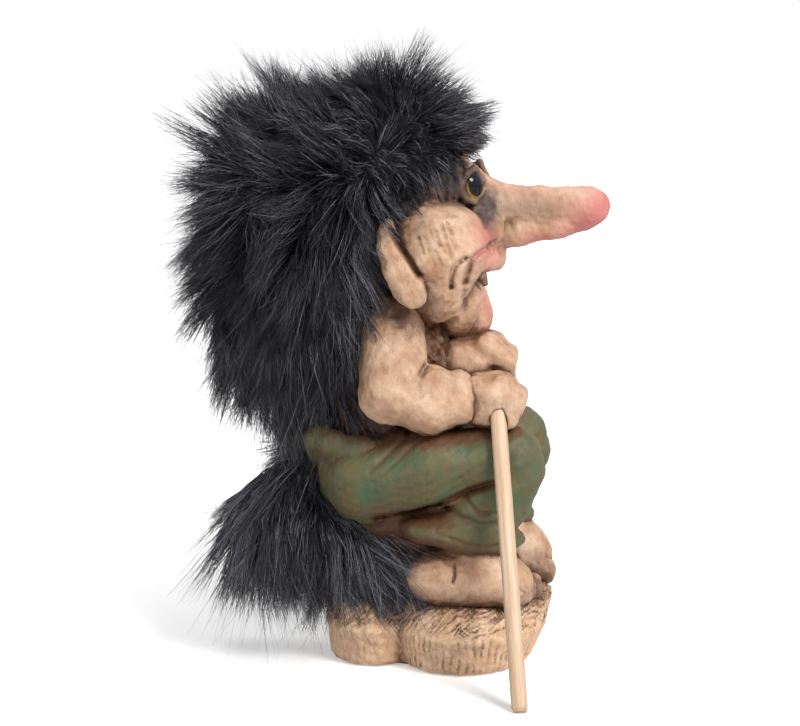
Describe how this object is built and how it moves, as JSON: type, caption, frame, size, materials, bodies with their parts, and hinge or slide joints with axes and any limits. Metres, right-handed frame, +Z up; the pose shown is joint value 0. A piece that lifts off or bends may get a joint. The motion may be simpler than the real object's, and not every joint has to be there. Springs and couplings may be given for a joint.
{
  "type": "folk troll figurine",
  "caption": "Long-nosed folk troll ornament with a black fur mane and tail, green trousers and bare feet, squatting on a ground slab and holding a loose wooden walking stick",
  "frame": {"origin": "middle of the flat underside of the ground slab, on the surface that it stands on", "axes": "+X the way the nose points, +Y to the troll's left, +Z up from the slab through the head"},
  "size_m": [0.1099, 0.0869, 0.1505],
  "materials": {
    "skin_paint": "matte",
    "trouser_paint": "satin",
    "ground_paint": "matte",
    "felt": "matte",
    "tooth_paint": "satin",
    "fur": "satin",
    "wig_cloth": "matte",
    "eye_glass": "gloss",
    "eye_wire_steel": "satin",
    "stick_wood": "matte"
  },
  "bodies": {
    "figure": {"head": "skin_paint", "torso": "skin_paint", "right_arm": "skin_paint", "left_arm": "skin_paint", "right_fist": "skin_paint", "left_hand": "skin_paint", "right_foot": "skin_paint", "left_foot": "skin_paint", "right_trouser_leg": "trouser_paint", "left_trouser_leg": "trouser_paint", "trouser_seat": "trouser_paint", "ground_slab": "ground_paint", "base_felt": "felt", "tooth": "tooth_paint", "wig_fur": "fur", "tail_fur": "fur", "wig_backing": "wig_cloth", "tail_stub": "wig_cloth", "right_eye": "eye_glass", "left_eye": "eye_glass", "right_eye_wire": "eye_wire_steel", "left_eye_wire": "eye_wire_steel"},
    "stick": {"walking_stick": "stick_wood"}
  },
  "joints": [
    {"name": "stick_pull", "type": "slide", "parent": "figure", "child": "stick", "axis": [0.1041, -0.4221, -0.9005], "range_m": [0, 0.0095]}
  ]
}
